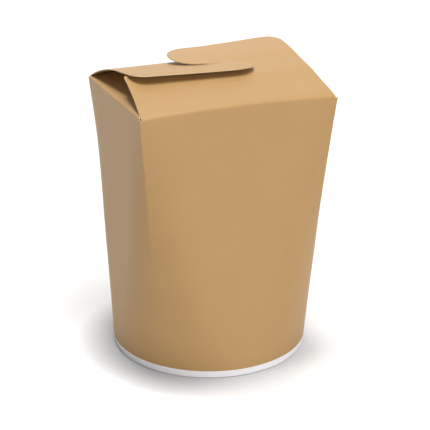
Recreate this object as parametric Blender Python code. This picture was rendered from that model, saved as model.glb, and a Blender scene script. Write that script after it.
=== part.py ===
"""Shut noodle takeaway box: a kraft board carton, square at the rim and round at the foot,
closed by two slit flaps, on a white board base. Metres, +Z up, front towards -Y."""

import math

import bmesh
import bpy
from mathutils import Vector

# Carton walls
RIM_WIDTH = 0.0850
RIM_DEPTH = 0.0718
RIM_HEIGHT = 0.1156
FOOT_RADIUS = 0.0430
FOOT_HEIGHT = 0.0034      # the kraft wall ends this far above the table
SIDE_BOW = 0.0007         # how far the side walls are drawn in at mid-height
FRONT_ARCH = 0.0012       # how far the front fold arches up
BACK_ARCH = 0.0006
FRONT_SKEW = 0.0007       # how far the front fold's right end stands up, and its left end down
ARCH_FADE = 0.0150        # distance from those folds over which the arch fades out
FOLD_RADIUS = 0.0005
FOLD_STEPS = 3
SCORE_AZIMUTH = 38.0      # degrees from the side wall's middle to the corner score at the foot
SCORE_END = 0.35          # share of the wall's height where the corner score has faded out
SCORE_KINK = 0.75         # share of the corner's turn that the score takes at the rim
RINGS = 18                # levels that the wall is drawn at
EIGHTH_STEPS = 9          # points from the middle of a wall to its corner score

# Side flaps, tucked in under the closing flaps and filled below them
SIDE_FLAP_RISE = 0.0042
SIDE_FLAP_REACH = 0.0200

# Closing flaps, flat: x along the fold and l away from it, seen from outside
BOARD = 0.00035
FLAP_INSET = 0.0008
FLAP_TAPER = 0.057        # how much each side edge leans in for its length
FLAP_LENGTH = 0.0547
FLAP_CORNER = 0.0069
TONGUE_END = 0.0158       # how far past the middle the tongue reaches
TONGUE_ROUND = 0.0109     # length of its rounded end
SLIT_OVERRUN = 0.0051     # how far past the middle each slit is cut
SLOT_CORNER = 0.0015
STRIP = 0.0030            # width of the strips that a flap is bent in
COLUMN = 0.0100           # and of the columns across them
BEND_STEP = 0.0005        # step in which the bend is summed up
ROOT = 0.0008             # depth of a flap's root in the carton
ROOT_LEAN = 0.3           # how far it leans in for its depth
ROOT_SETBACK = 0.00015    # how far inside the wall's face it starts

# Front flap: lower and upper edge of its slit, slope at the fold, middle and tip, and how far its
# unslit right side rises above its left at the middle and at the tip
FRONT_SLIT = (0.0298, 0.0341)
FRONT_SLOPES = (26.6, 14.2, 1.8)
FRONT_CURL = (-0.00065, 0.00225)
# Back flap, the same
BACK_SLIT = (0.0387, 0.0430)
BACK_SLOPES = (30.1, 10.6, -2.7)
BACK_CURL = (-0.00080, 0.00070)
CURL_START = -0.0050      # where across the flap that curl starts
# How far a flap lifts (+) or sinks (-) at its slit: the tongue, the short part, and past its end
FRONT_FLEX = (0.00025, -0.00010, -0.00035)
BACK_FLEX = (0.00045, -0.00025, -0.00025)
FLEX_SPAN = 0.0100        # distance from the slit over which that fades out
FLEX_TURN = (-0.0045, 0.0005)   # stretch across the flap over which it changes

# White board base
BASE_RADIUS = 0.0426
PLUG_RADIUS = 0.0419
BASE_TOP = 0.0075
BASE_FLOOR = 0.0006
SKIRT_INNER_RADIUS = 0.0414
BASE_STEPS = 96
GAP = 0.0003


def lerp(a, b, t):
    return a + (b - a) * t


def smoothstep(t):
    t = min(1.0, max(0.0, t))
    return t * t * (3.0 - 2.0 * t)


def make_material(name, colour, roughness):
    material = bpy.data.materials.new(name)
    material.use_nodes = True
    shader = material.node_tree.nodes["Principled BSDF"]
    shader.inputs["Base Color"].default_value = (*colour, 1.0)
    shader.inputs["Roughness"].default_value = roughness
    shader.inputs["Metallic"].default_value = 0.0
    return material


def make_object(name, bm, material=None):
    mesh = bpy.data.meshes.new(name)
    bm.to_mesh(mesh)
    bm.free()
    obj = bpy.data.objects.new(name, mesh)
    bpy.context.scene.collection.objects.link(obj)
    if material:
        mesh.materials.append(material)
    return obj


def half_side(side, corner, sweep, kink):
    """Half of a wall's section, from its middle to the corner score: the length that is straight,
    then the radius and angle of the bend. Without a kink that bend is part of a round corner."""
    depth = corner * (1.0 - math.cos(sweep))
    angle = sweep * (1.0 - kink)
    radius = depth / (1.0 - math.cos(angle))
    straight = side - corner * (1.0 - math.sin(sweep)) - radius * math.sin(angle)
    return straight, radius, angle


def along_half_side(straight, radius, angle, share):
    """The point at a share of that half's length: (along from the middle, in from the wall's line)."""
    path = share * (straight + radius * angle)
    if path <= straight or radius == 0.0:
        return path, 0.0
    turned = (path - straight) / radius
    return straight + radius * math.sin(turned), radius * (1.0 - math.cos(turned))


def section_point(index, height_share, inset=0.0):
    """A point of the carton's section at a share of the wall's height, moved in by inset."""
    half_x = lerp(FOOT_RADIUS, RIM_WIDTH / 2, height_share) - inset
    half_y = lerp(FOOT_RADIUS, RIM_DEPTH / 2, height_share) - inset
    corner = FOOT_RADIUS * (1.0 - height_share)
    kink = SCORE_KINK * smoothstep((height_share - SCORE_END) / (1.0 - SCORE_END))
    side, step = divmod(index, 2 * EIGHTH_STEPS)
    share = (step - EIGHTH_STEPS) / EIGHTH_STEPS
    if side in (0, 2):
        half = half_side(half_x, corner, math.radians(90.0 - SCORE_AZIMUTH), kink)
    else:
        half = half_side(half_y, corner, math.radians(SCORE_AZIMUTH), kink)
    along, depth = along_half_side(*half, abs(share))
    along = math.copysign(along, share)
    x, y = (along, depth - half_y) if side in (0, 2) else (half_x - depth, along)
    if side in (2, 3):
        x, y = -x, -y
    x -= SIDE_BOW * 4.0 * height_share * (1.0 - height_share) * x / half_x
    return x, y


def fold_arch(x, front):
    """How far the front or back fold stands above the rim at a point along it."""
    t = 2.0 * x / RIM_WIDTH
    if front:
        return FRONT_ARCH * (1.0 - t ** 2) + FRONT_SKEW * t
    return BACK_ARCH * (1.0 - t ** 2)


def move_ring(verts, z, height_share, inset, arch):
    """Puts a ring of points on the section, with the front and back folds arched by arch."""
    for index, vert in enumerate(verts):
        x, y = section_point(index, height_share, inset)
        at_fold = smoothstep(1.0 - (RIM_DEPTH / 2 - abs(y) - FOLD_RADIUS) / FOLD_RADIUS)
        vert.co = (x, y, z + arch * fold_arch(x, y < 0.0) * at_fold)


def next_ring(bm, verts):
    """Extrudes the open ring once and returns the new ring, in the same order."""
    edges = [bm.edges.get((verts[i - 1], verts[i])) for i in range(len(verts))]
    made = bmesh.ops.extrude_edge_only(bm, edges=edges)["geom"]
    new_verts = {g for g in made if isinstance(g, bmesh.types.BMVert)}
    ring = []
    for vert in verts:
        ring.append(next(e.other_vert(vert) for e in vert.link_edges if e.other_vert(vert) in new_verts))
    return ring


def build_carton_body():
    """The walls up to the rim with the side flaps on top, filled, and the pocket for the base."""
    bm = bmesh.new()
    ring = bmesh.ops.create_circle(bm, segments=8 * EIGHTH_STEPS, radius=FOOT_RADIUS)["verts"]
    foot = list(ring)
    move_ring(foot, FOOT_HEIGHT, 0.0, 0.0, 0.0)
    wall_top = RIM_HEIGHT - FOLD_RADIUS
    for level in range(1, RINGS + 1):
        ring = next_ring(bm, ring)
        z = lerp(FOOT_HEIGHT, wall_top, level / RINGS)
        share = (z - FOOT_HEIGHT) / (RIM_HEIGHT - FOOT_HEIGHT)
        move_ring(ring, z, share, 0.0, smoothstep(1.0 - (wall_top - z) / ARCH_FADE))
    for step in range(1, FOLD_STEPS + 1):
        ring = next_ring(bm, ring)
        angle = math.radians(90.0) * step / FOLD_STEPS
        inset = FOLD_RADIUS * (1.0 - math.cos(angle))
        move_ring(ring, wall_top + FOLD_RADIUS * math.sin(angle), 1.0, inset, 1.0)
    ring = next_ring(bm, ring)
    move_ring(ring, RIM_HEIGHT + SIDE_FLAP_RISE, 1.0, SIDE_FLAP_REACH, 0.0)
    bm.faces.new(ring)

    ring = next_ring(bm, foot)
    place_circle(ring, PLUG_RADIUS + GAP, FOOT_HEIGHT)
    ring = next_ring(bm, ring)
    place_circle(ring, PLUG_RADIUS + GAP, BASE_TOP + GAP)
    bm.faces.new(ring)
    bmesh.ops.recalc_face_normals(bm, faces=bm.faces)
    return make_object("carton", bm)


def place_circle(verts, radius, z):
    for vert in verts:
        flat = Vector((vert.co.x, vert.co.y)).normalized() * radius
        vert.co = (flat.x, flat.y, z)


def arc(centre, radius_x, radius_y, start, end, steps):
    """Points of an elliptic arc, in degrees, both ends included."""
    points = []
    for step in range(steps + 1):
        angle = math.radians(lerp(start, end, step / steps))
        points.append((centre[0] + radius_x * math.cos(angle), centre[1] + radius_y * math.sin(angle)))
    return points


def flap_side(length):
    """Half the flap's width at a distance from its fold."""
    return RIM_WIDTH / 2 - FLAP_INSET - FLAP_TAPER * length


def flap_outline(slit):
    """The flap's flat outline: full length on its right, and a tongue past the middle at its
    tip, freed from the short left part by a slit from the left edge."""
    low, high = slit
    right = flap_side(FLAP_LENGTH)
    corner = FLAP_CORNER
    tongue_half = (FLAP_LENGTH - high) / 2
    tongue_centre = (TONGUE_ROUND - TONGUE_END, high + tongue_half)
    slot_half = (high - low) / 2
    slot_centre = (SLIT_OVERRUN - slot_half, low + slot_half)
    short_centre = (SLOT_CORNER - flap_side(low), low - SLOT_CORNER)
    outline = [(flap_side(-ROOT), -ROOT)]
    outline += arc((right - corner, FLAP_LENGTH - corner), corner, corner, 0.0, 90.0, 8)
    outline += arc(tongue_centre, TONGUE_ROUND, tongue_half, 90.0, 270.0, 14)
    outline += arc(slot_centre, slot_half, slot_half, 90.0, -90.0, 6)
    outline += arc(short_centre, SLOT_CORNER, SLOT_CORNER, 90.0, 180.0, 3)
    outline += [(-flap_side(-ROOT), -ROOT)]
    return outline


def slope_at(slopes, length):
    """Slope in radians at a distance from the fold, through the three given slopes."""
    fold, middle, tip = slopes
    t = length / FLAP_LENGTH
    bend = fold * (1 - t) * (1 - 2 * t) + middle * 4 * t * (1 - t) + tip * t * (2 * t - 1)
    return math.radians(bend)


def bent_profile(slopes, length):
    """Where the bent board gets to at a distance from its fold: (in, up)."""
    if length < 0.0:
        return -ROOT_LEAN * length, length
    steps = max(1, round(length / BEND_STEP))
    step = length / steps
    run = rise = 0.0
    for i in range(steps):
        slope = slope_at(slopes, (i + 0.5) * step)
        run += step * math.cos(slope)
        rise += step * math.sin(slope)
    return run, rise


def flap_flex(x, length, slit, flex):
    """How far the flap is pushed up or down at its slit by the other flap passing through it."""
    tongue, short, past_end = flex
    low, high = slit
    fade = 1.0 - smoothstep(abs(length - (low + high) / 2) / FLEX_SPAN)
    beside = lerp(short, tongue, smoothstep((length - low) / (high - low)))
    start, end = FLEX_TURN
    across = smoothstep((end - x) / (end - start))
    return lerp(past_end, beside, across) * fade


def flap_curl(x, length, curl):
    """How far the flap's right side stands above its left."""
    t = length / FLAP_LENGTH
    across = smoothstep((x - CURL_START) / (RIM_WIDTH / 2 - CURL_START))
    return across * (curl[0] * 4.0 * t * (1.0 - t) + curl[1] * t * t)


def build_closing_flap(name, slit, slopes, curl, flex, turned):
    """One closing flap: its flat outline cut into strips, bent, and given the board's thickness."""
    bm = bmesh.new()
    bm.faces.new([bm.verts.new((x, length, 0.0)) for x, length in flap_outline(slit)])
    for row in range(int(FLAP_LENGTH / STRIP) + 1):
        cut_strip(bm, (0.0, row * STRIP, 0.0), (0.0, 1.0, 0.0))
    reach = int(RIM_WIDTH / 2 / COLUMN)
    columns = [column * COLUMN for column in range(-reach, reach + 1) if column]
    turn_columns = [lerp(*FLEX_TURN, step / 4) for step in range(5)]
    for column in turn_columns + columns:
        cut_strip(bm, (column, 0.0, 0.0), (1.0, 0.0, 0.0))
    bmesh.ops.triangulate(bm, faces=bm.faces)
    for vert in bm.verts:
        x, length = vert.co.x, vert.co.y
        run, rise = bent_profile(slopes, length)
        arch = fold_arch(x, not turned) * (1.0 - smoothstep(length / ARCH_FADE))
        vert.co.y = run - RIM_DEPTH / 2 + ROOT_SETBACK
        lift = arch + flap_curl(x, max(0.0, length), curl) + flap_flex(x, length, slit, flex)
        vert.co.z = RIM_HEIGHT + rise + lift
        if turned:
            vert.co.x, vert.co.y = -vert.co.x, -vert.co.y
    bmesh.ops.recalc_face_normals(bm, faces=bm.faces)
    if sum(face.normal.z for face in bm.faces) < 0.0:
        bmesh.ops.reverse_faces(bm, faces=bm.faces)
    flap = make_object(name, bm)
    thicken = flap.modifiers.new("Board", "SOLIDIFY")
    thicken.thickness = BOARD
    thicken.offset = -1.0
    return flap


def cut_strip(bm, point, normal):
    geometry = bm.verts[:] + bm.edges[:] + bm.faces[:]
    bmesh.ops.bisect_plane(bm, geom=geometry, dist=1e-6, plane_co=point, plane_no=normal)


def fuse(body, pieces):
    """Joins the pieces to the body with one union, and removes them."""
    group = bpy.data.collections.new("flaps")
    for piece in pieces:
        bpy.context.scene.collection.objects.unlink(piece)
        group.objects.link(piece)
    bpy.context.scene.collection.children.link(group)
    union = body.modifiers.new("Union", "BOOLEAN")
    union.operation = "UNION"
    union.operand_type = "COLLECTION"
    union.collection = group
    union.solver = "EXACT"
    bpy.context.view_layer.update()
    evaluated = body.evaluated_get(bpy.context.evaluated_depsgraph_get())
    fused = bpy.data.meshes.new_from_object(evaluated)
    body.modifiers.clear()
    body.data = fused
    for piece in pieces:
        bpy.data.objects.remove(piece)
    bpy.data.collections.remove(group)


def shade(obj, angle):
    obj.data.shade_smooth()
    obj.data.set_sharp_from_angle(angle=math.radians(angle))


def build_carton(material):
    """The whole folded blank as one piece: walls, side flaps and both closing flaps."""
    carton = build_carton_body()
    front = build_closing_flap("front_flap", FRONT_SLIT, FRONT_SLOPES, FRONT_CURL, FRONT_FLEX, False)
    back = build_closing_flap("back_flap", BACK_SLIT, BACK_SLOPES, BACK_CURL, BACK_FLEX, True)
    fuse(carton, [front, back])
    carton.data.materials.clear()
    carton.data.materials.append(material)
    shade(carton, 25.0)


def build_base(material):
    """The base, a shallow board cup turned over: a disc up inside the carton with a skirt
    round it that the box stands on."""
    shoulder = FOOT_HEIGHT - GAP
    profile = [
        (SKIRT_INNER_RADIUS, BASE_TOP - BASE_FLOOR),
        (SKIRT_INNER_RADIUS, 0.0),
        (BASE_RADIUS, 0.0),
        (BASE_RADIUS, shoulder),
        (PLUG_RADIUS, shoulder),
        (PLUG_RADIUS, BASE_TOP),
    ]
    bm = bmesh.new()
    verts = [bm.verts.new((radius, 0.0, z)) for radius, z in profile]
    edges = [bm.edges.new(pair) for pair in zip(verts, verts[1:])]
    bmesh.ops.spin(
        bm,
        geom=verts + edges,
        axis=(0.0, 0.0, 1.0),
        cent=(0.0, 0.0, 0.0),
        angle=math.tau,
        steps=BASE_STEPS,
        use_merge=True,
    )
    bmesh.ops.holes_fill(bm, edges=[e for e in bm.edges if e.is_boundary])
    bmesh.ops.recalc_face_normals(bm, faces=bm.faces)
    shade(make_object("base", bm, material), 30.0)


def main():
    for obj in list(bpy.data.objects):
        bpy.data.objects.remove(obj)
    build_carton(make_material("kraft_board", (0.52, 0.33, 0.15), 0.45))
    build_base(make_material("white_board", (0.80, 0.79, 0.77), 0.6))


main()
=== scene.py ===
import math

import bmesh
import bpy
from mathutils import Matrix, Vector


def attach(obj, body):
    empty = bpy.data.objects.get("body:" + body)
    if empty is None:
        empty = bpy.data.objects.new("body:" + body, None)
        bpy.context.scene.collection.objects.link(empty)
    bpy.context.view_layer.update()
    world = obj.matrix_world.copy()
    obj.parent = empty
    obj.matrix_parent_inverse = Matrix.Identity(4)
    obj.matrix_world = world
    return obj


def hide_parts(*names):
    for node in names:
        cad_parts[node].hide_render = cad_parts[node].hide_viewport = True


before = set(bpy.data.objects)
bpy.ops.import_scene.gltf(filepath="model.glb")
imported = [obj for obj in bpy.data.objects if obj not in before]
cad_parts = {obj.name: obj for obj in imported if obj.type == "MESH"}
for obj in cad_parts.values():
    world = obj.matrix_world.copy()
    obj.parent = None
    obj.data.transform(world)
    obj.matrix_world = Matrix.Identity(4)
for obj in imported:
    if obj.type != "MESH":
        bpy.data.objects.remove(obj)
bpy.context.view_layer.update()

# The base is a shallow cup of white paperboard, pressed to shape and glued up inside the foot
# of the carton upside down. Its skirt reaches below the kraft wall, and the box stands on it.

BASE_RADIUS = 0.0425
BASE_TOP = 0.0075
DISC_BOARD = 0.0006
SKIRT_BOARD = 0.0011       # the skirt is turned back on itself, so it is two boards thick
SKIRT_EDGE = 0.00045       # radius of the fold that it stands on
DISC_FILLET = 0.0016       # radius of the pressed turn from disc to skirt
BASE_STEPS = 192
SAME_POINT = 1e-6          # points closer than this are one


def srgb(code):
    """The linear colour of an sRGB hex value."""
    levels = [int(code[i:i + 2], 16) / 255 for i in (1, 3, 5)]
    linear = [v / 12.92 if v <= 0.04045 else ((v + 0.055) / 1.055) ** 2.4 for v in levels]
    return (*linear, 1.0)


def add_node(tree, kind, settings=(), sockets=(), links=()):
    """Adds a node to a tree with its settings, its socket values and what feeds its sockets."""
    made = tree.nodes.new(kind)
    for name, value in dict(settings).items():
        setattr(made, name, value)
    for name, value in dict(sockets).items():
        made.inputs[name].default_value = value
    for name, source in dict(links).items():
        tree.links.new(source, made.inputs[name])
    return made


def new_material(name):
    """A named material with an empty tree, and that tree."""
    material = bpy.data.materials.new(name)
    material.use_nodes = True
    material.node_tree.nodes.clear()
    return material, material.node_tree


def finish_material(tree, shader):
    """Ends a material's tree with its output."""
    add_node(tree, "ShaderNodeOutputMaterial", links={"Surface": shader.outputs["BSDF"]})


def new_piece(name, bm, materials):
    """Makes the finished mesh an object that rides with the box."""
    mesh = bpy.data.meshes.new(name)
    bm.to_mesh(mesh)
    bm.free()
    mesh.shade_smooth()
    piece = bpy.data.objects.new(name, mesh)
    bpy.context.scene.collection.objects.link(piece)
    for material in materials:
        mesh.materials.append(material)
    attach(piece, "root")
    return piece


def arc(centre, radius, start, end, steps, radius_y=None):
    """Points of an arc, in degrees, both ends included. It is elliptic if it has a second radius."""
    radii = (radius, radius_y or radius)
    points = []
    for step in range(steps + 1):
        angle = math.radians(start + (end - start) * step / steps)
        points.append((centre[0] + radii[0] * math.cos(angle), centre[1] + radii[1] * math.sin(angle)))
    return points


def white_paperboard():
    """Bleached paperboard, machine finished and not printed: matt and even, with a faint felt-side
    tooth that only takes the shine off. It is drawn coarser than it is, as it would not show."""
    tooth_mm = 0.45
    material, tree = new_material("bleached_paperboard")
    place = add_node(tree, "ShaderNodeTexCoord")
    tooth = add_node(
        tree, "ShaderNodeTexNoise",
        sockets={"Scale": 1000.0 / tooth_mm, "Detail": 3.0, "Roughness": 0.6},
        links={"Vector": place.outputs["Object"]},
    )
    relief = add_node(
        tree, "ShaderNodeBump",
        sockets={"Strength": 0.25, "Distance": 0.00002},
        links={"Height": tooth.outputs["Fac"]},
    )
    tone = add_node(
        tree, "ShaderNodeMix",
        settings={"data_type": "RGBA"},
        sockets={"A": srgb("#f6f3f6"), "B": srgb("#fbf9fb")},
        links={"Factor": tooth.outputs["Fac"]},
    )
    shader = add_node(
        tree, "ShaderNodeBsdfPrincipled",
        sockets={"Roughness": 0.6, "IOR": 1.5, "Specular IOR Level": 0.35},
        links={"Base Color": tone.outputs["Result"], "Normal": relief.outputs["Normal"]},
    )
    finish_material(tree, shader)
    return material


skirt_inner = BASE_RADIUS - SKIRT_BOARD
disc_under = BASE_TOP - DISC_BOARD
base_profile = [(0.0, disc_under)]
base_profile += arc((skirt_inner - DISC_FILLET, disc_under - DISC_FILLET), DISC_FILLET, 90.0, 0.0, 5)
base_profile += arc((skirt_inner + SKIRT_EDGE, SKIRT_EDGE), SKIRT_EDGE, 180.0, 270.0, 4)
base_profile += arc((BASE_RADIUS - SKIRT_EDGE, SKIRT_EDGE), SKIRT_EDGE, 270.0, 360.0, 4)
base_profile += arc((BASE_RADIUS - SKIRT_EDGE, BASE_TOP - SKIRT_EDGE), SKIRT_EDGE, 0.0, 90.0, 4)
base_profile += [(0.0, BASE_TOP)]

bm = bmesh.new()
corners = [bm.verts.new((radius, 0.0, z)) for radius, z in base_profile]
sides = [bm.edges.new(pair) for pair in zip(corners, corners[1:])]
bmesh.ops.spin(
    bm, geom=corners + sides, axis=(0.0, 0.0, 1.0), cent=(0.0, 0.0, 0.0), angle=math.tau,
    steps=BASE_STEPS, use_merge=True,
)
bmesh.ops.remove_doubles(bm, verts=bm.verts, dist=SAME_POINT)
bmesh.ops.recalc_face_normals(bm, faces=bm.faces)
base_cup = new_piece("base_cup", bm, [white_paperboard()])
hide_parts("base")

# The carton's wall is kraft board wrapped to a tube and glued: round at the foot, where the base
# holds it, and scored into four flat sides towards the rim. The scores die away lower down.

RIM_WIDTH = 0.0850
RIM_DEPTH = 0.0718
RIM_HEIGHT = 0.1156
FOOT_RADIUS = 0.0430
FOOT_HEIGHT = 0.0034
BOARD = 0.00035
SIDE_BOW = 0.0007          # how far the side walls are drawn in at mid-height
FRONT_ARCH = 0.0012        # how far the front fold arches up
BACK_ARCH = 0.0006
FRONT_SKEW = 0.0007        # how far the front fold's right end stands up, and its left end down
ARCH_FADE = 0.0150         # distance from the fold over which its arch fades out
CORNER_PEAK = 0.0004       # how far the front right corner's tip stands above the rim, and out
CORNER_SPREAD = 0.0003
SCORE_AZIMUTH = 38.0       # degrees from the side wall's middle to the corner score at the foot
SCORE_END = 0.35           # share of the wall's height where the corner score has faded out
SCORE_KINK = 0.75          # share of the corner's turn that the score takes at the rim
FLAP_INSET = 0.0008        # how far each flap's edge stands in from the corner score
FOLD_REACH = 0.0008        # distance from the fold over which the board rounds it
WALL_RINGS = 44
SIDE_STEPS = 15            # steps from a wall's middle to the edge of its flap
SIDE_POINTS = 2 * SIDE_STEPS + 2   # points along a wall: its first corner, then along its flap
FRONT, RIGHT, BACK, LEFT = range(4)


def lerp(a, b, t):
    return a + (b - a) * t


def smoothstep(t):
    t = min(1.0, max(0.0, t))
    return t * t * (3.0 - 2.0 * t)


def half_rim(side):
    """Half the length of a wall's fold."""
    return RIM_WIDTH / 2 if side in (FRONT, BACK) else RIM_DEPTH / 2


def rim_distance(side):
    """From the box's axis to a wall's fold."""
    return RIM_DEPTH / 2 if side in (FRONT, BACK) else RIM_WIDTH / 2


def turn_to_side(side, along, out):
    """A point of the plan that is along a wall's line, and out from the box's axis."""
    return [(along, -out), (out, along), (-along, out), (-out, -along)][side]


def half_section(side, height_share):
    """Half of a wall's section, from its middle to the corner score: the length that is straight,
    then the radius and angle of the bend. Without a kink that bend is part of a round corner."""
    half = lerp(FOOT_RADIUS, half_rim(side), height_share)
    corner = FOOT_RADIUS * (1.0 - height_share)
    kink = SCORE_KINK * smoothstep((height_share - SCORE_END) / (1.0 - SCORE_END))
    sweep = math.radians(90.0 - SCORE_AZIMUTH if side in (FRONT, BACK) else SCORE_AZIMUTH)
    angle = sweep * (1.0 - kink)
    radius = corner * (1.0 - math.cos(sweep)) / (1.0 - math.cos(angle))
    straight = half - corner * (1.0 - math.sin(sweep)) - radius * math.sin(angle)
    return straight, radius, angle


def wall_point(side, share, height_share):
    """A point of the wall, at a share of the way from the wall's middle to either corner."""
    straight, radius, angle = half_section(side, height_share)
    path = abs(share) * (straight + radius * angle)
    out = lerp(FOOT_RADIUS, rim_distance(side), height_share)
    if path > straight:
        turned = (path - straight) / radius
        path = straight + radius * math.sin(turned)
        out -= radius * (1.0 - math.cos(turned))
    x, y = turn_to_side(side, math.copysign(path, share), out)
    half_x = lerp(FOOT_RADIUS, RIM_WIDTH / 2, height_share)
    return x - SIDE_BOW * 4.0 * height_share * (1.0 - height_share) * x / half_x, y


def side_shares(side):
    """Where the wall's points lie along one side: its first corner, then edge to edge of its flap."""
    edge_share = 1.0 - FLAP_INSET / half_rim(side)
    steps = range(-SIDE_STEPS, SIDE_STEPS + 1)
    return [-1.0] + [edge_share * step / SIDE_STEPS for step in steps]


def fold_arch(side, x):
    """How far a wall's fold stands above the rim at a point along it."""
    t = 2.0 * x / RIM_WIDTH
    if side == FRONT:
        return FRONT_ARCH * (1.0 - t ** 2) + FRONT_SKEW * t
    return BACK_ARCH * (1.0 - t ** 2) if side == BACK else 0.0


def kraft_board():
    """Unbleached kraft board with a thin aqueous varnish: warm brown long fibres under a satin skin,
    which goes pale and greyish where light or the eye comes in low. Finer fibres would not show, so
    their flecks are drawn half a millimetre wide."""
    fibre_mm = 0.5
    cloud_mm = 14.0
    material, tree = new_material("varnished_kraft_board")
    place = add_node(tree, "ShaderNodeTexCoord")
    clouds = add_node(
        tree, "ShaderNodeTexNoise",
        sockets={"Scale": 1000.0 / cloud_mm, "Detail": 3.0, "Roughness": 0.55},
        links={"Vector": place.outputs["Object"]},
    )
    fibres = add_node(
        tree, "ShaderNodeTexNoise",
        sockets={"Scale": 1000.0 / fibre_mm, "Detail": 4.0, "Roughness": 0.65},
        links={"Vector": place.outputs["Object"]},
    )
    cloud_tone = add_node(
        tree, "ShaderNodeMix",
        settings={"data_type": "RGBA"},
        sockets={"A": srgb("#ac8652"), "B": srgb("#b58e5b")},
        links={"Factor": clouds.outputs["Fac"]},
    )
    fleck = add_node(
        tree, "ShaderNodeMapRange",
        sockets={"From Min": 0.3, "From Max": 0.75, "To Min": 0.0, "To Max": 0.10},
        links={"Value": fibres.outputs["Fac"]},
    )
    tone = add_node(
        tree, "ShaderNodeMix",
        settings={"data_type": "RGBA"},
        sockets={"B": srgb("#c3a072")},
        links={"Factor": fleck.outputs["Result"], "A": cloud_tone.outputs["Result"]},
    )
    gloss = add_node(
        tree, "ShaderNodeMapRange",
        sockets={"To Min": 0.44, "To Max": 0.54},
        links={"Value": clouds.outputs["Fac"]},
    )
    relief = add_node(
        tree, "ShaderNodeBump",
        sockets={"Strength": 0.2, "Distance": 0.00002},
        links={"Height": fibres.outputs["Fac"]},
    )
    shader = add_node(
        tree, "ShaderNodeBsdfPrincipled",
        sockets={"IOR": 1.5, "Specular IOR Level": 0.4},
        links={
            "Base Color": tone.outputs["Result"],
            "Roughness": gloss.outputs["Result"],
            "Normal": relief.outputs["Normal"],
        },
    )
    finish_material(tree, shader)
    return material


def cut_board():
    """The die-cut edge of the board, where its paler inner plies show: dry, fibrous and matt."""
    fibre_mm = 0.4
    material, tree = new_material("cut_board_edge")
    place = add_node(tree, "ShaderNodeTexCoord")
    plies = add_node(
        tree, "ShaderNodeTexNoise",
        sockets={"Scale": 1000.0 / fibre_mm, "Detail": 2.0},
        links={"Vector": place.outputs["Object"]},
    )
    tone = add_node(
        tree, "ShaderNodeMix",
        settings={"data_type": "RGBA"},
        sockets={"A": srgb("#d6b888"), "B": srgb("#ead3ac")},
        links={"Factor": plies.outputs["Fac"]},
    )
    shader = add_node(
        tree, "ShaderNodeBsdfPrincipled",
        sockets={"Roughness": 0.8, "IOR": 1.5, "Specular IOR Level": 0.3},
        links={"Base Color": tone.outputs["Result"]},
    )
    finish_material(tree, shader)
    return material


def next_ring(bm, verts):
    """Extrudes the open ring once and returns the new ring, in the same order."""
    count = len(verts)
    edges = [bm.edges.get((verts[i - 1], verts[i])) for i in range(count)]
    made = bmesh.ops.extrude_edge_only(bm, edges=edges)["geom"]
    new_verts = {part for part in made if isinstance(part, bmesh.types.BMVert)}
    ring = []
    for vert in verts:
        ring.append(next(e.other_vert(vert) for e in vert.link_edges if e.other_vert(vert) in new_verts))
    return ring


wall_top = RIM_HEIGHT - FOLD_REACH
ring_places = [(side, share) for side in range(4) for share in side_shares(side)]
carton_bm = bmesh.new()
ring = bmesh.ops.create_circle(carton_bm, segments=len(ring_places), radius=FOOT_RADIUS)["verts"]
for level in range(WALL_RINGS + 1):
    z = lerp(FOOT_HEIGHT, wall_top, level / WALL_RINGS)
    height_share = (z - FOOT_HEIGHT) / (RIM_HEIGHT - FOOT_HEIGHT)
    arch_share = smoothstep(1.0 - (wall_top - z) / ARCH_FADE)
    if level:
        ring = next_ring(carton_bm, ring)
    for vert, (side, share) in zip(ring, ring_places):
        x, y = wall_point(side, share, height_share)
        vert.co = (x, y, z + arch_share * fold_arch(side, x))
for side, peak, spread in (
    (FRONT, -FRONT_SKEW, 0.0), (RIGHT, CORNER_PEAK, CORNER_SPREAD), (BACK, 0.0, 0.0), (LEFT, 0.0, 0.0),
):
    corner = ring[side * SIDE_POINTS]
    corner.co.z = RIM_HEIGHT + peak
    corner.co.x += spread
rim_points = [vert.co.copy() for vert in ring]

# The side flaps fold in first. They are cut back at both corners, slope up a little from their
# folds, and stop under the closing flaps, so only a strip of each shows at the gable.

SIDE_FLAP_LENGTH = 0.0220
SIDE_FLAP_TAPER = 0.75     # how much each edge leans in for its length
SIDE_FLAP_CORNER = 0.0050
SIDE_SLOPES = (13.0, 21.0, 12.0)   # degrees up, at the fold, the middle and the tip
BEND_STEP = 0.0005
FOLD_ROWS = 6              # rows of points round a fold, and the distance of those beyond it
ROW = 0.0010
EXTRA_START = 0.0100       # extra columns are only cut further than this from the fold
WELD = 0.00002             # points closer than this are joined where a flap meets its wall


def slope_at(slopes, length, full_length):
    """Slope in radians at a distance from the fold, through its values at fold, middle and tip."""
    fold, middle, tip = slopes
    t = length / full_length
    return math.radians(fold * (1 - t) * (1 - 2 * t) + middle * 4 * t * (1 - t) + tip * t * (2 * t - 1))


def bent_profile(slopes, length, full_length):
    """Where the bent board gets to at a distance from its fold: (in, up)."""
    steps = max(1, round(length / BEND_STEP))
    step = length / steps
    run = rise = 0.0
    for i in range(steps):
        slope = slope_at(slopes, (i + 0.5) * step, full_length)
        run += step * math.cos(slope)
        rise += step * math.sin(slope)
    return run, rise


def over_fold(side, slopes, length, full_length):
    """The same, with the fold rounded from the wall's line into the flap's."""
    if length >= FOLD_REACH:
        return bent_profile(slopes, length, full_length)
    lean = math.atan2(FOOT_RADIUS - rim_distance(side), RIM_HEIGHT - FOOT_HEIGHT)
    end_run, end_rise = bent_profile(slopes, FOLD_REACH, full_length)
    share = (length + FOLD_REACH) / (2 * FOLD_REACH)
    below = (1.0 - share) ** 2 * FOLD_REACH
    return share ** 2 * end_run - below * math.tan(lean), share ** 2 * end_rise - below


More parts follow.
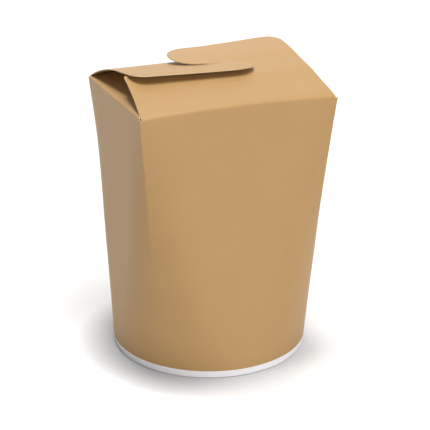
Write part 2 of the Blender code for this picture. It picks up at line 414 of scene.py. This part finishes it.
def cut_line(bm, point, normal, beyond=-FOLD_REACH):
    """Cuts across the faces that lie beyond a distance from the fold."""
    faces = [face for face in bm.faces if min(v.co.y for v in face.verts) > beyond - SAME_POINT]
    geometry = {part for face in faces for part in [face] + face.edges[:] + face.verts[:]}
    bmesh.ops.bisect_plane(
        bm, geom=list(geometry), dist=SAME_POINT, plane_co=point, plane_no=normal
    )


def rim_point(side, along):
    """The wall's own point where one of the flap's columns starts."""
    step = round(along / (half_rim(side) - FLAP_INSET) * SIDE_STEPS)
    return rim_points[side * SIDE_POINTS + 1 + SIDE_STEPS + step]


def bend_flap(side, outline, slopes, full_length, extra_columns=(), lift=None):
    """Cuts the flat outline (along the fold, away from it) into a grid that starts on the wall's
    own points, bends it over the fold, and adds it to the carton."""
    bm = bmesh.new()
    bm.faces.new([bm.verts.new((along, length, 0.0)) for along, length in outline])
    fold_rows = [FOLD_REACH * (2 * row / FOLD_ROWS - 1) for row in range(1, FOLD_ROWS + 1)]
    flap_rows = [FOLD_REACH + ROW * row for row in range(1, int(full_length / ROW))]
    for length in fold_rows + flap_rows:
        cut_line(bm, (0.0, length, 0.0), (0.0, 1.0, 0.0))
    columns = [half_rim(side) * share for share in side_shares(side)[2:-1]]
    for along in columns:
        cut_line(bm, (along, 0.0, 0.0), (1.0, 0.0, 0.0))
    for along in extra_columns:
        cut_line(bm, (along, 0.0, 0.0), (1.0, 0.0, 0.0), EXTRA_START)
    bmesh.ops.triangulate(bm, faces=[face for face in bm.faces if len(face.verts) > 4])
    for vert in bm.verts:
        along, length = vert.co.x, vert.co.y
        if length < SAME_POINT - FOLD_REACH:
            vert.co = rim_point(side, along)
            continue
        run, rise = over_fold(side, slopes, length, full_length)
        x, y = turn_to_side(side, along, rim_distance(side) - run)
        arch = fold_arch(side, x) * (1.0 - smoothstep(length / ARCH_FADE))
        vert.co = (x, y, RIM_HEIGHT + rise + arch + (lift(along, length) if lift else 0.0))
    flap = bpy.data.meshes.new("flap")
    bm.to_mesh(flap)
    bm.free()
    carton_bm.from_mesh(flap)
    bpy.data.meshes.remove(flap)


side_half = half_rim(LEFT) - FLAP_INSET
side_tip = side_half - SIDE_FLAP_TAPER * SIDE_FLAP_LENGTH
side_outline = [(side_half, -FOLD_REACH), (side_half, 0.0)]
side_corner = (side_tip - SIDE_FLAP_CORNER / 2, SIDE_FLAP_LENGTH - SIDE_FLAP_CORNER)
side_outline += arc(side_corner, SIDE_FLAP_CORNER, 45.0, 90.0, 6)
side_outline += [(-along, length) for along, length in reversed(side_outline)]
for side in (LEFT, RIGHT):
    bend_flap(side, side_outline, SIDE_SLOPES, SIDE_FLAP_LENGTH)

# The closing flaps fold in over them. Each is slit from its left edge to past its middle, so that
# its tip is a tongue: the front tongue goes over the back flap and the back tongue over the front.

FLAP_TAPER = 0.057         # how much each edge leans in for its length
FLAP_LENGTH = 0.0547
FLAP_CORNER = 0.0069
TONGUE_END = 0.0158        # how far past the middle the tongue reaches
TONGUE_ROUND = 0.0109      # length of its rounded end
SLIT_OVERRUN = 0.0003      # how far past the middle each slit is cut
SLIT_END = 0.0012          # width of the slit at its closed end
SLIT_CORNER = 0.0015       # rounding of the short part where the slit opens
FRONT_SLIT = (0.0298, 0.0341)   # distances of its two sides from the fold, where it is widest
BACK_SLIT = (0.0387, 0.0430)
FRONT_SLOPES = (26.6, 14.2, 1.8)
BACK_SLOPES = (30.1, 10.6, -2.7)
FRONT_CURL = (-0.00065, 0.00225)   # how the right side bows up, and how its tip rises
BACK_CURL = (-0.00080, 0.00070)
CURL_START = -0.0050       # where across the flap that curl starts
FRONT_FLEX = (0.00025, -0.00010, -0.00035)   # lift of tongue, short part and board past the slit
BACK_FLEX = (0.00045, -0.00025, -0.00025)
FLEX_SPAN = 0.0100         # distance from the slit over which that lift fades out
FLEX_TURN = (-0.0045, 0.0005)   # stretch across the flap over which it changes
FLEX_COLUMNS = 4
CARTON_SMOOTH = 50.0       # degrees past which an edge stays sharp


def flap_side(length):
    """Half the flap's width at a distance from its fold."""
    return RIM_WIDTH / 2 - FLAP_INSET - FLAP_TAPER * max(0.0, length)


def flap_outline(slit):
    """The flap's flat outline: full length on its right, and a tongue past the middle at its tip,
    freed from the short left part by a slit that widens towards the left edge."""
    low, high = slit
    tip_centre = (flap_side(FLAP_LENGTH) - FLAP_CORNER, FLAP_LENGTH - FLAP_CORNER)
    tongue_half = (FLAP_LENGTH - high) / 2
    tongue_centre = (TONGUE_ROUND - TONGUE_END, high + tongue_half)
    end_half = SLIT_END / 2
    end_centre = (SLIT_OVERRUN - end_half, high - end_half)
    short_centre = (SLIT_CORNER - flap_side(low), low - SLIT_CORNER)
    outline = [(flap_side(0.0), -FOLD_REACH), (flap_side(0.0), 0.0)]
    outline += arc(tip_centre, FLAP_CORNER, 0.0, 90.0, 12)
    outline += arc(tongue_centre, TONGUE_ROUND, 90.0, 270.0, 26, radius_y=tongue_half)
    outline += arc(end_centre, end_half, 90.0, -90.0, 10)
    outline += arc(short_centre, SLIT_CORNER, 90.0, 180.0, 5)
    outline += [(-flap_side(0.0), 0.0), (-flap_side(0.0), -FOLD_REACH)]
    return outline


def flap_lift(slit, curl, flex):
    """How far the flap's unslit right side curls up over its left, and how far the tongue, the
    short part and the board past the slit's end are pushed up or down by the other flap."""
    tongue, short, past_end = flex
    low, high = slit
    start, end = FLEX_TURN

    def lift(along, length):
        t = max(0.0, length) / FLAP_LENGTH
        right = smoothstep((along - CURL_START) / (RIM_WIDTH / 2 - CURL_START))
        fade = 1.0 - smoothstep(abs(length - (low + high) / 2) / FLEX_SPAN)
        beside = lerp(short, tongue, smoothstep((length - low) / (high - low)))
        pushed = lerp(past_end, beside, smoothstep((end - along) / (end - start))) * fade
        return right * (curl[0] * 4.0 * t * (1.0 - t) + curl[1] * t * t) + pushed
    return lift


for side, slit, slopes, curl, flex in (
    (FRONT, FRONT_SLIT, FRONT_SLOPES, FRONT_CURL, FRONT_FLEX),
    (BACK, BACK_SLIT, BACK_SLOPES, BACK_CURL, BACK_FLEX),
):
    bend_flap(
        side, flap_outline(slit), slopes, FLAP_LENGTH,
        extra_columns=[lerp(*FLEX_TURN, step / FLEX_COLUMNS) for step in range(FLEX_COLUMNS + 1)],
        lift=flap_lift(slit, curl, flex),
    )

bmesh.ops.remove_doubles(carton_bm, verts=carton_bm.verts, dist=WELD)
bmesh.ops.recalc_face_normals(carton_bm, faces=carton_bm.faces)
for board_edge in carton_bm.edges:
    # a cut edge has one face only, and stays sharp too
    board_edge.smooth = board_edge.calc_face_angle(math.pi) < math.radians(CARTON_SMOOTH)
carton = new_piece("folded_carton", carton_bm, [kraft_board(), cut_board()])
thickness = carton.modifiers.new("Board", "SOLIDIFY")
thickness.thickness = BOARD
thickness.offset = -1.0
thickness.material_offset_rim = 1
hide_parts("carton")

# The studio: a white floor without an end, soft light from above and from low in front, a little
# from behind and from the left, and the camera on the front left, looking down on the box.

FLOOR_SIZE = 12.0
SHADOW_REACH = 0.017       # distance from the foot over which its painted shadow fades out
SHADOW_FALL = 1.1          # power of that fading of the painted shadow
SHADOW_OPEN = (120.0, 22.0)   # azimuth and elevation of the side where the painted shadow is thinnest
PAPER_GLOW = 0.20          # share of its own tone that the paper gives off, which keeps it blank
PANEL_PLACE = (0.3, 1.5, 0.6)
PANEL_AIM = (0.0, 1.0, 0.3)   # direction that the panel's light comes from
PANEL_SIZE = (3.0, 1.2)
PANEL_WATTS = 9.0
SURROUND = 0.08            # strength of the light from all round
CAMERA_AZIMUTH = -21.07
CAMERA_ELEVATION = 20.76
CAMERA_DISTANCE = 0.5377
FOCAL_PX = 1226.1          # focal length and image centre in pixels of a 430 px wide image
CENTRE_PX = (208.79, 214.58)
IMAGE_PX = 430.0
SENSOR_MM = 36.0


def direction(azimuth, elevation):
    """Unit vector from the box towards a viewer or lamp; azimuth 0 is in front, 90 at its right."""
    a, e = math.radians(azimuth), math.radians(elevation)
    return Vector((math.sin(a) * math.cos(e), -math.cos(a) * math.cos(e), math.sin(e)))


def floor_paper():
    """White studio paper, matt, lit until it is blank. The narrow shadow where something stands on it
    is painted shade, which darkens its colour and its own glow near the foot, deepest in front on the
    left."""
    material, tree = new_material("white_studio_paper")
    towards_open = add_node(
        tree, "ShaderNodeCombineXYZ",
        sockets=dict(zip("XYZ", direction(*SHADOW_OPEN))),
    )
    painted_shadow_occlusion = add_node(
        tree, "ShaderNodeAmbientOcclusion",
        settings={"samples": 8},
        sockets={"Distance": SHADOW_REACH},
        links={"Normal": towards_open.outputs["Vector"]},
    )
    # painted shadow: an occlusion test near the box sets how dark the paper is painted
    painted_shadow_depth = add_node(
        tree, "ShaderNodeMath",
        settings={"operation": "POWER"},
        sockets={1: SHADOW_FALL},
        links={0: painted_shadow_occlusion.outputs["AO"]},
    )
    # painted shadow: grey near the foot, white beyond, used for both the paper's colour and its glow
    tone = add_node(
        tree, "ShaderNodeMix",
        settings={"data_type": "RGBA"},
        sockets={"A": srgb("#6c6c6e"), "B": srgb("#d6d6d6")},
        links={"Factor": painted_shadow_depth.outputs["Value"]},
    )
    shader = add_node(
        tree, "ShaderNodeBsdfPrincipled",
        sockets={"Roughness": 0.9, "Specular IOR Level": 0.0, "Emission Strength": PAPER_GLOW},
        links={"Base Color": tone.outputs["Result"], "Emission Color": tone.outputs["Result"]},
    )
    finish_material(tree, shader)
    return material


bm = bmesh.new()
bmesh.ops.create_grid(bm, x_segments=1, y_segments=1, size=FLOOR_SIZE / 2)
floor_mesh = bpy.data.meshes.new("floor")
bm.to_mesh(floor_mesh)
bm.free()
floor_mesh.materials.append(floor_paper())
floor = bpy.data.objects.new("floor", floor_mesh)
bpy.context.scene.collection.objects.link(floor)

for name, azimuth, elevation, spread, strength in (
    ("top_softbox", -120.0, 87.0, 14.0, 1.75),
    ("front_top_softbox", 15.0, 72.0, 26.0, 1.65),
    ("front_softbox", 8.0, 12.0, 36.0, 1.35),
    ("back_softbox", 165.0, 44.0, 40.0, 0.7),
    ("left_softbox", -80.0, 55.0, 40.0, 0.10),
):
    lamp = bpy.data.lights.new(name, "SUN")
    lamp.energy = strength
    lamp.angle = math.radians(spread)
    holder = bpy.data.objects.new(name, lamp)
    holder.rotation_euler = direction(azimuth, elevation).to_track_quat("Z", "Y").to_euler()
    bpy.context.scene.collection.objects.link(holder)

# a bright panel behind puts the pale sheen on the closing flaps
panel = bpy.data.lights.new("back_panel", "AREA")
panel.shape = "RECTANGLE"
panel.size, panel.size_y = PANEL_SIZE
panel.energy = PANEL_WATTS
holder = bpy.data.objects.new("back_panel", panel)
holder.location = PANEL_PLACE
holder.rotation_euler = Vector(PANEL_AIM).to_track_quat("Z", "Y").to_euler()
bpy.context.scene.collection.objects.link(holder)

world = bpy.data.worlds.new("studio")
bpy.context.scene.world = world
world.use_nodes = True
world.node_tree.nodes.clear()
surround = add_node(
    world.node_tree, "ShaderNodeBackground", sockets={"Color": srgb("#ffffff"), "Strength": SURROUND}
)
add_node(world.node_tree, "ShaderNodeOutputWorld", links={"Surface": surround.outputs["Background"]})
bpy.context.scene.view_settings.view_transform = "Standard"

towards_camera = direction(CAMERA_AZIMUTH, CAMERA_ELEVATION)
lens = bpy.data.cameras.new("camera")
lens.sensor_width = SENSOR_MM
lens.lens = SENSOR_MM * FOCAL_PX / IMAGE_PX
lens.shift_x = (IMAGE_PX / 2 - CENTRE_PX[0]) / IMAGE_PX
lens.shift_y = (CENTRE_PX[1] - IMAGE_PX / 2) / IMAGE_PX
camera = bpy.data.objects.new("camera", lens)
camera.location = Vector((0.0, 0.0, RIM_HEIGHT / 2)) + towards_camera * CAMERA_DISTANCE
camera.rotation_euler = towards_camera.to_track_quat("Z", "Y").to_euler()
bpy.context.scene.collection.objects.link(camera)
bpy.context.scene.camera = camera
